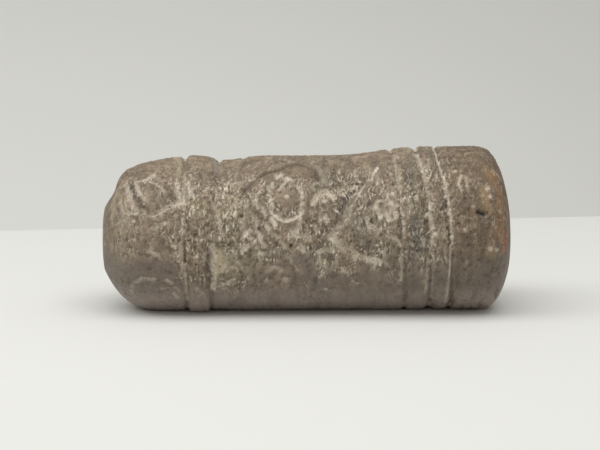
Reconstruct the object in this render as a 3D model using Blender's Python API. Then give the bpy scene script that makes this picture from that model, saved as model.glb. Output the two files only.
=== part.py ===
"""A cylinder seal of dark stone: one barrel, drilled from end to end and engraved all round.

The barrel lies along X, as it does when it is put down, on a small flat on its underside.
Metres, +Z up. The origin is on that flat, under the middle of the barrel.
Angles round the barrel are in degrees: 0 faces -Y, 90 is the top and 180 is the hidden side.
"""

import math

import bmesh
import bpy
import numpy as np

# The barrel.
LENGTH = 0.060  # over the two end faces
LEFT_RADIUS = 0.01145  # beside the domed left end
NECK_RADIUS = 0.01120  # where the frieze starts, worn thinnest
WAIST_RADIUS = 0.01150  # half-way along
RIGHT_RADIUS = 0.01215  # the plain collar at the right end
NECK_FROM_LEFT = 0.0175
WAIST_FROM_LEFT = 0.0235
FLARE_FROM_RIGHT = 0.0260  # where the barrel starts to widen towards its right end
COLLAR_FROM_RIGHT = 0.0125
LEFT_DOME = 0.0100  # how far along the barrel the left end is rounded
RIGHT_DOME = 0.0054
LEFT_SQUARENESS = 3.3  # 1 is a cone, and more is squarer
RIGHT_SQUARENESS = 3.4
HAND_WAVE = 0.00008  # how far a hand-ground barrel strays from round

# The bore, drilled from both ends to meet in the middle, with worn mouths.
BORE_RADIUS = 0.0030  # at the middle, where it is narrowest
MOUTH_RADIUS = 0.0032
MOUTH_WEAR = 0.0003  # how far the rim of each mouth is worn round
LAND_WIDTH = 0.0008  # the flat ring round each mouth
LAND_FALL = 0.125  # how steeply the stone falls away outside a land
BORE_HEIGHT = 0.0103  # of the bore's axis over the flat underside
BORE_SIDES = 32
LAND_SIDES = 48

# The flat that keeps the barrel from rolling.
FLAT_DEPTH = 0.00032

# Bands cut round the barrel. The left ones are placed from the left end, the right ones from the right.
LEFT_GROOVE_FROM_END = 0.0122
BEAD_WIDTH = 0.0042  # between the two grooves beside the raised bead
BEAD_HEIGHT = 0.00045
RIGHT_GROOVES_FROM_END = (0.01655, 0.0131, 0.0099)
GROOVE_WIDTH = 0.0014
GROOVE_DEPTH = 0.00045
LEFT_LEAN = 0.0002  # how far a groove's top leans to the left of its middle
RIGHT_LEAN = 0.0010

# Engraving tools: width and depth of the cut that each leaves.
CHISEL_WIDTH = 0.0015
CHISEL_DEPTH = 0.00045
TUBE_WIDTH = 0.0013
TUBE_DEPTH = 0.00045
POINT_WIDTH = 0.0013
POINT_DEPTH = 0.00035
DISH_DEPTH = 0.00025
SHOULDER_WEAR = 0.0006  # at the top of the left dome

# Engraved forms. Each oval has half its length along the barrel and half its height round it.
RING_HALF_LENGTH = 0.0026
RING_HALF_HEIGHT = 0.0030
BROW_HALF_LENGTH = 0.0049
BROW_HALF_HEIGHT = 0.0066
ROUNDEL_HALF_LENGTH = 0.0036
ROUNDEL_HALF_HEIGHT = 0.0042
LOOP_HALF_LENGTH = 0.0015
LOOP_HALF_HEIGHT = 0.0018
DOT_RADIUS = 0.0009

# Mesh fineness of the carved skin, before and after it is thinned.
SKIN_STEP = 0.00042
SKIN_SIDES = 168
SKIN_SHARE_KEPT = 0.135

GRIND_OVER = 0.00015  # stone turned off each end to leave its land flat
CUTTER_OVER = 0.010  # how far a grinding block reaches past the barrel
TINY = 1e-12  # keeps a line of no length from dividing by nothing

HALF = LENGTH / 2
LAND_RADIUS = MOUTH_RADIUS + MOUTH_WEAR + LAND_WIDTH
LEFT_GROOVE = -HALF + LEFT_GROOVE_FROM_END
BEAD_MIDDLE = LEFT_GROOVE + BEAD_WIDTH / 2
FRIEZE_START = LEFT_GROOVE + BEAD_WIDTH
FRIEZE_END = HALF - RIGHT_GROOVES_FROM_END[0]
FRIEZE_LENGTH = FRIEZE_END - FRIEZE_START


def clear_scene():
    for obj in list(bpy.data.objects):
        bpy.data.objects.remove(obj, do_unlink=True)


def blend(low, high, share):
    """A smooth step from low to high as share goes from 0 to 1."""
    t = np.clip(share, 0.0, 1.0)
    return low + (high - low) * t * t * (3.0 - 2.0 * t)


def body_radius(x):
    """The radius along the barrel, without its rounded ends: a slight neck, and a wider right end."""
    neck = -HALF + NECK_FROM_LEFT
    waist = -HALF + WAIST_FROM_LEFT
    flare = HALF - FLARE_FROM_RIGHT
    collar = HALF - COLLAR_FROM_RIGHT
    start = -HALF + LEFT_DOME
    radius = blend(LEFT_RADIUS, NECK_RADIUS, (x - start) / (neck - start))
    radius = radius + blend(0.0, WAIST_RADIUS - NECK_RADIUS, (x - neck) / (waist - neck))
    return radius + blend(0.0, RIGHT_RADIUS - WAIST_RADIUS, (x - flare) / (collar - flare))


def dome_share(x):
    """How far the rounding of the nearer end has grown: 0 at its land, 1 where the full body starts."""
    end = HALF + GRIND_OVER
    left = 1.0 - (1.0 - np.clip((end + x) / LEFT_DOME, 0.0, 1.0)) ** LEFT_SQUARENESS
    right = 1.0 - (1.0 - np.clip((end - x) / RIGHT_DOME, 0.0, 1.0)) ** RIGHT_SQUARENESS
    return np.minimum(left, right)


def blank_ring(x):
    """The radius and the height of the middle of the uncarved barrel at x. The domes lean to the bore."""
    body = body_radius(x)
    share = dome_share(x)
    radius = LAND_RADIUS + (body - LAND_RADIUS) * share
    body_middle = body - FLAT_DEPTH
    middle = BORE_HEIGHT + (body_middle - BORE_HEIGHT) * share
    return radius, middle


def skin_stations():
    """Places of the rings along the barrel, closer together where a dome curves in."""
    end = HALF + GRIND_OVER
    dense = np.linspace(-end, end, 20001)
    radius = blank_ring(dense)[0]
    steps = np.hypot(np.diff(dense), np.diff(radius))
    run = np.concatenate(([0.0], np.cumsum(steps)))
    count = max(8, round(run[-1] / SKIN_STEP))
    return np.interp(np.linspace(0.0, run[-1], count + 1), run, dense)


class Carving:
    """The depth of stone cut away at each point of a grid of places along and angles round the barrel."""

    def __init__(self, along, angles):
        self.x, self.angle = np.meshgrid(along, angles, indexing="ij")
        self.depth = np.zeros_like(self.x)
        self.per_degree = np.radians(body_radius(self.x))

    def arc(self, angle):
        """The way round from an angle to each point, in metres."""
        return ((self.angle - angle + 180.0) % 360.0 - 180.0) * self.per_degree

    def cut(self, distance, width, depth):
        """Takes away a round-bottomed channel where distance is under half the width."""
        near = np.clip(distance / (width / 2), 0.0, 1.0)
        self.depth = np.maximum(self.depth, depth * (0.5 + 0.5 * np.cos(math.pi * near)))

    def line(self, points, width, depth):
        """A tool drawn through points, each a place along and an angle round."""
        for (x0, a0), (x1, a1) in zip(points, points[1:]):
            px, py = self.x - x0, self.arc(a0)
            dx, dy = x1 - x0, (a1 - a0) * self.per_degree
            share = np.clip((px * dx + py * dy) / (dx * dx + dy * dy + TINY), 0.0, 1.0)
            self.cut(np.hypot(px - share * dx, py - share * dy), width, depth)

    def hoop(self, x, lean):
        """A groove all the way round, its top leaning to the left."""
        middle = x - lean * np.sin(np.radians(self.angle))
        self.cut(np.abs(self.x - middle), GROOVE_WIDTH, GROOVE_DEPTH)

    def oval(self, x, angle, half_length, half_height):
        """How many half-widths of an oval each point is from its middle."""
        return np.hypot((self.x - x) / half_length, self.arc(angle) / half_height)

    def ring(self, x, angle, half_length, half_height, width, depth, start=0.0, end=360.0):
        """An oval channel, or an arch of it from one bearing to another. A bearing of 90 is upwards."""
        reach = self.oval(x, angle, half_length, half_height)
        distance = np.abs(reach - 1.0) * (half_length + half_height) / 2
        bearing = np.degrees(np.arctan2(self.arc(angle), self.x - x)) % 360.0
        inside = (bearing - start) % 360.0 <= end - start
        self.cut(np.where(inside, distance, width), width, depth)

    def dish(self, x, angle, half_length, half_height, depth):
        """A shallow hollow."""
        self.cut(self.oval(x, angle, half_length, half_height), 2.0, depth)

    def boss(self, x, angle, radius):
        """Stone left standing in the middle of a dish."""
        near = np.clip(self.oval(x, angle, radius, radius), 0.0, 1.0)
        self.depth = np.where(near < 1.0, self.depth * near**2, self.depth)


def frieze(share):
    """A place along the frieze, as a share of it from its left groove."""
    return FRIEZE_START + FRIEZE_LENGTH * share


def ring_and_dot(work, x, angle, size=1.0):
    """A tube-drilled ring round a dot, in a shallow dish."""
    long, high = RING_HALF_LENGTH * size, RING_HALF_HEIGHT * size
    work.dish(x, angle, long * 1.1, high * 1.1, DISH_DEPTH)
    work.ring(x, angle, long, high, TUBE_WIDTH, TUBE_DEPTH)
    work.boss(x, angle, DOT_RADIUS * size)


def brow(work, x, angle, size=1.0):
    """The arch over a ring and dot."""
    long, high = BROW_HALF_LENGTH * size, BROW_HALF_HEIGHT * size
    work.ring(x, angle, long, high, CHISEL_WIDTH, CHISEL_DEPTH * 0.7, 25.0, 155.0)


def chevron(work, x, angle, reach, up, down):
    """A wedge of two chisel lines that opens to the right. up and down are the arms' turns in degrees."""
    top = (x + reach, angle + up)
    foot = (x + reach * 1.1, angle - down)
    work.line([top, (x, angle), foot], CHISEL_WIDTH, CHISEL_DEPTH)


def dots(work, x, angle, columns, rows, step, turn):
    """Rows of drill points, each row set half a step from the last."""
    for row in range(rows):
        for column in range(columns):
            place = x + step * (column + 0.5 * (row % 2))
            spot = (place, angle - turn * row)
            work.line([spot, spot], POINT_WIDTH, POINT_DEPTH)


def comb(work, x, angle, length, tines, turn):
    """A post with short lines standing out of it to the right."""
    work.line([(x, angle), (x, angle - turn * (tines - 1))], CHISEL_WIDTH, CHISEL_DEPTH)
    for tine in range(tines):
        level = angle - turn * tine
        work.line([(x, level), (x + length, level + turn * 0.3)], POINT_WIDTH, POINT_DEPTH)


def branch(work, x, angle, height, pairs):
    """An upright stem with pairs of raised twigs."""
    work.line([(x, angle - height / 2), (x, angle + height / 2)], POINT_WIDTH, CHISEL_DEPTH)
    for pair in range(pairs):
        level = angle - height / 2 + height * (pair + 0.3) / pairs
        for side in (-1, 1):
            tip = (x + side * FRIEZE_LENGTH * 0.08, level + height * 0.16)
            work.line([(x, level), tip], POINT_WIDTH, POINT_DEPTH)


def carve_bands(work):
    """The grooves beside the bead and the three round the right end."""
    work.hoop(LEFT_GROOVE, LEFT_LEAN)
    work.hoop(FRIEZE_START, LEFT_LEAN)
    for from_end in RIGHT_GROOVES_FROM_END:
        work.hoop(HALF - from_end, RIGHT_LEAN)


def carve_front(work):
    """The half of the frieze that the photograph shows."""
    loop = (LOOP_HALF_LENGTH, LOOP_HALF_HEIGHT, POINT_WIDTH, POINT_DEPTH)
    roundel = (ROUNDEL_HALF_LENGTH, ROUNDEL_HALF_HEIGHT, TUBE_WIDTH, DISH_DEPTH)
    ring_and_dot(work, frieze(0.390), 34.3)
    brow(work, frieze(0.390), 34.3)
    chevron(work, frieze(0.617), 7.2, FRIEZE_LENGTH * 0.222, 45.7, 20.7)
    work.line([(frieze(0.930), 41.5), (frieze(0.797), 17.8)], POINT_WIDTH, POINT_DEPTH)
    work.ring(frieze(0.895), 20.0, *loop)
    work.ring(frieze(0.604), 33.0, *loop, 0.0, 180.0)
    work.ring(frieze(0.614), -13.3, *loop)
    work.ring(frieze(0.343), -23.6, *roundel, 20.0, 190.0)
    work.dish(frieze(0.353), -13.1, DOT_RADIUS, DOT_RADIUS, POINT_DEPTH)
    dots(work, frieze(0.16), 19.5, 5, 3, FRIEZE_LENGTH * 0.078, 10.0)
    comb(work, frieze(0.035), -4.3, FRIEZE_LENGTH * 0.13, 4, 10.0)


def carve_back(work):
    """The hidden half of the frieze, in the same hand but plainer."""
    branch(work, frieze(0.16), 112.0, 42.0, 4)
    ring_and_dot(work, frieze(0.46), 128.0, 0.85)
    chevron(work, frieze(0.66), 118.0, FRIEZE_LENGTH * 0.2, 24.0, 24.0)
    comb(work, frieze(0.08), 190.0, FRIEZE_LENGTH * 0.13, 4, 9.0)
    dots(work, frieze(0.30), 196.0, 5, 3, FRIEZE_LENGTH * 0.07, 11.0)
    chevron(work, frieze(0.70), 186.0, FRIEZE_LENGTH * 0.2, 22.0, 22.0)
    ring_and_dot(work, frieze(0.26), 238.0)
    brow(work, frieze(0.26), 238.0)
    branch(work, frieze(0.60), 240.0, 40.0, 4)
    ring_and_dot(work, frieze(0.84), 246.0, 0.7)
    dots(work, frieze(0.16), 284.0, 9, 2, FRIEZE_LENGTH * 0.08, 12.0)
    chevron(work, frieze(0.72), 308.0, FRIEZE_LENGTH * 0.17, 16.0, 16.0)


def carve_left_dome(work):
    """The slanting panels cut on the shoulder of the left dome, three times round it, and its worn top."""
    panel = LEFT_GROOVE - 0.0048
    left, right = panel - 0.0028, panel + 0.0045
    for turn in (0.0, 125.0, 235.0):
        work.line([(left, 55.6 + turn), (left + 0.0008, 26.8 + turn)], POINT_WIDTH, POINT_DEPTH)
        corner = [(left, 36.4 + turn), (panel, 24.8 + turn), (right, 33.3 + turn)]
        work.line(corner, CHISEL_WIDTH, CHISEL_DEPTH)
    work.dish(panel - 0.0010, 78.0, 0.0055, 0.0095, SHOULDER_WEAR)


def carved_skin():
    """The outside of the barrel as a closed mesh of rings, with all its engraving."""
    along = skin_stations()
    angles = np.arange(SKIN_SIDES) * 360.0 / SKIN_SIDES
    work = Carving(along, angles)
    carve_bands(work)
    carve_front(work)
    carve_back(work)
    carve_left_dome(work)

    radius, middle = blank_ring(work.x)
    crown = np.clip(1.0 - np.abs(work.x - BEAD_MIDDLE) / (BEAD_WIDTH / 2), 0.0, 1.0)
    bead = BEAD_HEIGHT * np.sqrt(1.0 - (1.0 - crown) ** 2)
    turn = np.radians(work.angle)
    wave = HAND_WAVE * dome_share(work.x) * np.sin(2.0 * turn + work.x / LENGTH * 9.0)
    radius = radius + bead + wave - work.depth * dome_share(work.x)
    y = -radius * np.cos(turn)
    z = middle + radius * np.sin(turn)

    skin = bmesh.new()
    rings = [
        [skin.verts.new((work.x[i, j], y[i, j], z[i, j])) for j in range(SKIN_SIDES)]
        for i in range(len(along))
    ]
    for ring, following in zip(rings, rings[1:]):
        for j in range(SKIN_SIDES):
            k = (j + 1) % SKIN_SIDES
            skin.faces.new((ring[j], following[j], following[k], ring[k]))
    skin.faces.new(rings[0])
    skin.faces.new(reversed(rings[-1]))
    bmesh.ops.recalc_face_normals(skin, faces=skin.faces)
    return skin


def new_object(name, mesh_source):
    mesh = bpy.data.meshes.new(name)
    mesh_source.to_mesh(mesh)
    mesh_source.free()
    obj = bpy.data.objects.new(name, mesh)
    bpy.context.scene.collection.objects.link(obj)
    return obj


def hide_cutter(obj):
    obj.hide_render = True
    obj.display_type = "WIRE"
    return obj


def block(name, low, high):
    """A grinding block: all the stone inside it goes."""
    shape = bmesh.new()
    bmesh.ops.create_cube(shape, size=1.0)
    for vertex in shape.verts:
        for axis in range(3):
            vertex.co[axis] = high[axis] if vertex.co[axis] > 0 else low[axis]
    return hide_cutter(new_object(name, shape))


def turned(name, profile, sides):
    """A closed shape of revolution about the bore's axis, from places along it and radii."""
    shape = bmesh.new()
    points = [shape.verts.new((x, 0.0, radius)) for x, radius in profile]
    edges = [shape.edges.new(pair) for pair in zip(points, points[1:])]
    bmesh.ops.spin(
        shape,
        geom=points + edges,
        cent=(0.0, 0.0, 0.0),
        axis=(1.0, 0.0, 0.0),
        angle=math.tau,
        steps=sides,
        use_merge=True,
    )
    bmesh.ops.remove_doubles(shape, verts=shape.verts, dist=1e-7)
    bmesh.ops.holes_fill(shape, edges=shape.edges, sides=0)
    bmesh.ops.recalc_face_normals(shape, faces=shape.faces)
    obj = hide_cutter(new_object(name, shape))
    obj.location.z = BORE_HEIGHT
    return obj


def ends_form():
    """All the stone that is left once the two lands are turned flat round the bore's axis."""
    spread = RIGHT_RADIUS
    far = HALF - spread * LAND_FALL
    left = [(-HALF, LAND_RADIUS), (-far, LAND_RADIUS + spread)]
    return turned("ends_form", left + [(-x, radius) for x, radius in reversed(left)], LAND_SIDES)


def drill():
    """The space of the bore: two drillings that narrow to the middle, and worn mouths."""
    rim = MOUTH_RADIUS + MOUTH_WEAR
    profile = [(-HALF - CUTTER_OVER, rim), (-HALF, rim)]
    for turn in np.radians([30.0, 60.0, 90.0]):
        worn = (MOUTH_WEAR * (1.0 - math.cos(turn)), MOUTH_WEAR * math.sin(turn))
        profile.append((-HALF + worn[0], rim - worn[1]))
    profile.append((0.0, BORE_RADIUS))
    profile += [(-x, radius) for x, radius in reversed(profile[:-1])]
    return turned("drill", profile, BORE_SIDES)


def stone():
    """Dark, close-grained stone with a dull surface."""
    material = bpy.data.materials.new("dark_stone")
    material.use_nodes = True
    surface = material.node_tree.nodes["Principled BSDF"]
    surface.inputs["Base Color"].default_value = (0.155, 0.125, 0.098, 1.0)
    surface.inputs["Roughness"].default_value = 0.72
    surface.inputs["Metallic"].default_value = 0.0
    material.diffuse_color = (0.155, 0.125, 0.098, 1.0)
    return material


def cut_with(obj, name, cutter, operation="DIFFERENCE"):
    modifier = obj.modifiers.new(name, "BOOLEAN")
    modifier.operation = operation
    modifier.solver = "EXACT"
    modifier.object = cutter


def make_seal():
    seal = new_object("seal", carved_skin())
    seal.data.shade_smooth()
    thinned = seal.modifiers.new("even out the mesh", "DECIMATE")
    thinned.ratio = SKIN_SHARE_KEPT
    long = HALF + CUTTER_OVER
    wide = RIGHT_RADIUS + CUTTER_OVER
    under = block("underside_block", (-long, -wide, -CUTTER_OVER), (long, wide, 0.0))
    cut_with(seal, "grind the underside", under)
    cut_with(seal, "turn the lands", ends_form(), "INTERSECT")
    cut_with(seal, "drill the bore", drill())
    seal.data.materials.append(stone())


clear_scene()
make_seal()
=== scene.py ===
"""A large cylinder seal of weathered dark stone, lying on its side on a pale sheet.

Metres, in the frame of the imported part: the barrel lies along X and its engraved front faces -Y.
Angles round the barrel are in degrees: 0 faces -Y, 90 is the top and 180 is the hidden side.
"""

import math

import bpy
import numpy as np
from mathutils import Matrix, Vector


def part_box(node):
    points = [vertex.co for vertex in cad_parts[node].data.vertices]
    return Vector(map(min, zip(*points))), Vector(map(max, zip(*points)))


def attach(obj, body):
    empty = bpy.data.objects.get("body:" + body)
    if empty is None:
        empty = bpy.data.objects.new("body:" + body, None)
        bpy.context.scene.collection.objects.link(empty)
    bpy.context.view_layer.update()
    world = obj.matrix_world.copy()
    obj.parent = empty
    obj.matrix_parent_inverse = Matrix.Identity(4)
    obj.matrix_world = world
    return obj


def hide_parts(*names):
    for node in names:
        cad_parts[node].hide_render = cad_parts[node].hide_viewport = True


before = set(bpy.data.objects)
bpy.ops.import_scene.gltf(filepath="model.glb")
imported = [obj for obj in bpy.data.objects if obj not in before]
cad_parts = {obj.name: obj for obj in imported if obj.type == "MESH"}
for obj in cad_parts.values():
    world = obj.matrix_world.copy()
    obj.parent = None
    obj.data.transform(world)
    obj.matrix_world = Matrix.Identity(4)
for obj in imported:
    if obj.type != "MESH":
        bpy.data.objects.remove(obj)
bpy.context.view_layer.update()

# The seal is one piece of soft dark stone, ground by hand to a waisted barrel with domed ends.
# It is drilled through from both ends, turned flat round the two mouths of the bore, and then
# engraved all round with a chisel, a tube drill and a point. Ages of wear and crust lie over that.
# The rounding of an end has squareness 2 for an ellipse and more for a blunter one.
MM = 0.001
lowest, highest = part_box("seal")
HALF = (highest.x - lowest.x) / 2
LEFT_RADIUS = 0.01145
NECK_RADIUS = 0.01120
WAIST_RADIUS = 0.01150
RIGHT_RADIUS = 0.01215
NECK = -HALF + 0.0175
WAIST = -HALF + 0.0235
FLARE = HALF - 0.0260
COLLAR = HALF - 0.0125
LEFT_DOME = 0.0100
RIGHT_DOME = 0.0054
LEFT_SQUARENESS = 3.3
RIGHT_SQUARENESS = 3.4
LAND_RADIUS = 0.0043
LAND_FALL = 0.125
RIM_RADIUS = 0.0035
RIM_WEAR = 0.0003
BORE_RADIUS = 0.0030
BORE_HEIGHT = 0.0103
FLAT_DEPTH = 0.00032
GRIND_OVER = 0.00015
BEAD_MIDDLE = -HALF + 0.0143
BEAD_WIDTH = 0.0042
BEAD_HEIGHT = 0.00045
RING_STEP = 0.000235
LEAST_STEP_RADIUS = 0.4
COLUMNS = 284
BORE_RINGS = 26
SHEET_RADIUS = 0.0115
SEAM = -90.0
SEAM_OVERLAP = 25.0
STATIONS = 20001
OVAL_POINTS = 25
SPOT_LENGTH = 0.06
HOOP_STEP = 5.0


def smooth_step(low, high, share):
    """A soft step from low to high as share goes from 0 to 1."""
    t = np.clip(share, 0.0, 1.0)
    return low + (high - low) * t * t * (3.0 - 2.0 * t)


def body_radius(x):
    """The radius along the barrel, without its rounded ends."""
    radius = smooth_step(LEFT_RADIUS, NECK_RADIUS, (x + HALF - LEFT_DOME) / (NECK + HALF - LEFT_DOME))
    radius = radius + smooth_step(0.0, WAIST_RADIUS - NECK_RADIUS, (x - NECK) / (WAIST - NECK))
    return radius + smooth_step(0.0, RIGHT_RADIUS - WAIST_RADIUS, (x - FLARE) / (COLLAR - FLARE))


def dome_share(x):
    """How far the rounding of the nearer end has grown: 0 at its land, 1 on the full body."""
    end = HALF + GRIND_OVER
    left = 1.0 - (1.0 - np.clip((end + x) / LEFT_DOME, 0.0, 1.0)) ** LEFT_SQUARENESS
    right = 1.0 - (1.0 - np.clip((end - x) / RIGHT_DOME, 0.0, 1.0)) ** RIGHT_SQUARENESS
    return np.minimum(left, right)


def outside_rings():
    """Place, radius and height of the middle of each ring of the skin, finer where it is carved."""
    end = HALF + GRIND_OVER
    dense = np.linspace(-end, end, STATIONS)
    radius = LAND_RADIUS + (body_radius(dense) - LAND_RADIUS) * dome_share(dense)
    middles = (dense[1:] + dense[:-1]) / 2
    worth = np.clip(dome_share(middles), LEAST_STEP_RADIUS, 1.0)
    run = np.concatenate(([0.0], np.cumsum(np.hypot(np.diff(dense), np.diff(radius)) * worth)))
    x = np.interp(np.linspace(0.0, run[-1], round(run[-1] / RING_STEP) + 1), run, dense)
    body, share = body_radius(x), dome_share(x)
    radius = LAND_RADIUS + (body - LAND_RADIUS) * share
    middle = BORE_HEIGHT + (body - FLAT_DEPTH - BORE_HEIGHT) * share
    limit = HALF - (radius - LAND_RADIUS) * LAND_FALL
    crown = np.clip(1.0 - np.abs(x - BEAD_MIDDLE) / (BEAD_WIDTH / 2), 0.0, 1.0)
    bead = BEAD_HEIGHT * np.sqrt(1.0 - (1.0 - crown) ** 2)
    return np.clip(x, -limit, limit), radius + bead, middle, share


def turned_outline():
    """The closed outline of the stone: over the skin from left to right, and back through the bore."""
    x, radius, middle, share = outside_rings()
    worn = np.radians([0.0, 30.0, 60.0, 90.0])
    rim_x = HALF - RIM_WEAR * (1.0 - np.cos(worn))
    rim_radius = RIM_RADIUS - RIM_WEAR * np.sin(worn)
    drilled = np.linspace(1.0, -1.0, BORE_RINGS)[1:-1]
    bore_x = drilled * (HALF - RIM_WEAR)
    bore_radius = BORE_RADIUS + (RIM_RADIUS - RIM_WEAR - BORE_RADIUS) * np.abs(drilled)
    land = (LAND_RADIUS + RIM_RADIUS) / 2
    back_x = np.concatenate(([HALF], rim_x, bore_x, -rim_x[::-1], [-HALF]))
    back_radius = np.concatenate(([land], rim_radius, bore_radius, rim_radius[::-1], [land]))
    along = np.concatenate((x, back_x, x[:1]))
    radius = np.concatenate((radius, back_radius, radius[:1]))
    middle = np.concatenate((middle, np.full(len(back_x), BORE_HEIGHT), middle[:1]))
    carved = np.concatenate((share, np.zeros(len(back_x)), share[:1]))
    step_x = np.roll(along[:-1], -1) - np.roll(along[:-1], 1)
    step_radius = np.roll(radius[:-1], -1) - np.roll(radius[:-1], 1)
    length = np.hypot(step_x, step_radius)
    facing = np.stack((-step_radius / length, step_x / length, carved[:-1]), axis=1)
    return np.stack((along, radius, middle), axis=1), np.concatenate((facing, facing[:1]))


def source_mesh(name, places, edges, domain, **values):
    """A mesh that only the barrel's nodes read, with one vector for each of its points or edges."""
    mesh = bpy.data.meshes.new(name)
    mesh.from_pydata([tuple(place) for place in places], edges, [])
    for key, rows in values.items():
        layer = mesh.attributes.new(key, "FLOAT_VECTOR", domain)
        layer.data.foreach_set("vector", np.asarray(rows, dtype=np.float32).ravel())
    obj = bpy.data.objects.new(name, mesh)
    bpy.context.scene.collection.objects.link(obj)
    return obj


def linear(hex_colour):
    """An sRGB hex colour as the linear colour that a shader takes."""
    parts = [int(hex_colour[i : i + 2], 16) / 255 for i in (1, 3, 5)]
    return tuple(p / 12.92 if p <= 0.04045 else ((p + 0.055) / 1.055) ** 2.4 for p in parts)


def oval(x, angle, half_long, half_high, start=0.0, end=360.0):
    """Points of an oval, or of an arch of it, in millimetres and degrees. A bearing of 90 is upwards."""
    per_degree = math.radians(SHEET_RADIUS / MM)
    bearings = np.radians(np.linspace(start, end, OVAL_POINTS))
    return [(x + half_long * math.cos(b), angle + half_high * math.sin(b) / per_degree) for b in bearings]


def spot(x, angle):
    return [(x - SPOT_LENGTH / 2, angle), (x + SPOT_LENGTH / 2, angle)]


def lay_flat(name, strokes):
    """Strokes on the barrel's skin rolled out flat: points, width, depth, and crust or a stain."""
    places, edges, tools, tints = [], [], [], []
    for points, width, depth, crust, *tint in strokes:
        for shift in (-360.0, 0.0, 360.0):
            angles = [angle + shift for _, angle in points]
            if max(angles) < SEAM - SEAM_OVERLAP or min(angles) > SEAM + 360.0 + SEAM_OVERLAP:
                continue
            first = len(places)
            for (x, _), angle in zip(points, angles):
                places.append((x, math.radians(angle) * SHEET_RADIUS / MM, 0.0))
            for number in range(first, len(places) - 1):
                edges.append((number, number + 1))
                tools.append((width / 2, depth, crust))
                tints.append(linear(tint[0]) if tint else (0.0, 0.0, 0.0))
    return source_mesh(name, places, edges, "EDGE", tool=tools, tint=tints)


FRIEZE_START = -13.6
FRIEZE_LENGTH = 27.05


def frieze(share):
    return FRIEZE_START + FRIEZE_LENGTH * share


def hoop(x, lean, start=0.0, end=360.0):
    """Points of a groove round the barrel, its top set to the left by lean."""
    count = round((end - start) / HOOP_STEP) + 1
    return [(x - lean * math.sin(math.radians(a)), a) for a in np.linspace(start, end, count)]


# The five grooves round the barrel, cut with a saw-edged tool: points, width, depth, crust. The one
# right of the bead is worn shallow on the front.
grooves = [
    (hoop(-17.8, 0.2), 1.3, 0.40, 0.0),
    (hoop(-13.5, -0.6, 50.0, 330.0), 1.4, 0.42, 0.0),
    (hoop(-13.5, -0.6, -30.0, 50.0), 1.1, 0.20, 0.0),
    (hoop(13.45, 1.0), 1.3, 0.36, 0.0),
    (hoop(17.1, 1.0), 1.8, 0.48, 0.0),
    (hoop(20.1, 1.0), 1.1, 0.45, 0.0),
]

# Pale crust along the grooves, in lines that break and wander: points, width, crust.
THREAD_DEPTH = 0.05
crust_lines = [
    ([(-17.9, 60), (-17.9, 42), (-18.0, 22), (-18.1, 4), (-18.2, -12), (-17.8, -27), (-17.6, -50)], 0.6, 0.5),
    ([(12.7, 77), (12.8, 56), (13.2, 36), (13.4, 25), (13.5, 9), (13.4, -3), (13.4, -30)], 0.55, 0.45),
    ([(13.5, 14), (13.5, 2)], 0.9, 0.95),
    ([(16.2, 75), (16.8, 47), (17.2, 31), (17.5, 17), (17.9, 8), (17.5, -3)], 0.65, 0.6),
    ([(17.5, -3), (17.1, -16), (17.1, -42)], 0.7, 0.35),
    ([(15.7, 78), (16.4, 54)], 0.8, 0.3),
    ([(17.6, 64), (17.2, 50)], 0.8, 0.35),
    ([(17.4, 19), (17.9, 3)], 1.3, 1.0),
    ([(17.9, -11), (18.1, -52)], 0.5, 0.25),
    ([(18.7, 85), (19.0, 62), (19.6, 44), (20.0, 30), (20.2, 18)], 0.5, 1.0),
    ([(20.2, 18), (20.5, 1), (20.3, -13), (20.3, -28)], 0.5, 0.8),
    ([(20.3, -28), (20.2, -55)], 0.7, 0.4),
    (hoop(-17.8, 0.2, 85.0, 300.0), 0.7, 0.55),
    (hoop(-13.5, -0.6, 85.0, 215.0), 0.6, 0.45),
    (hoop(13.45, 1.0, 85.0, 300.0), 0.7, 0.5),
    (hoop(17.1, 1.0, 85.0, 300.0), 0.9, 0.7),
    (hoop(20.1, 1.0, 95.0, 300.0), 0.6, 0.8),
]
threads = [(points, width, THREAD_DEPTH, crust) for points, width, crust in crust_lines]

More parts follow.
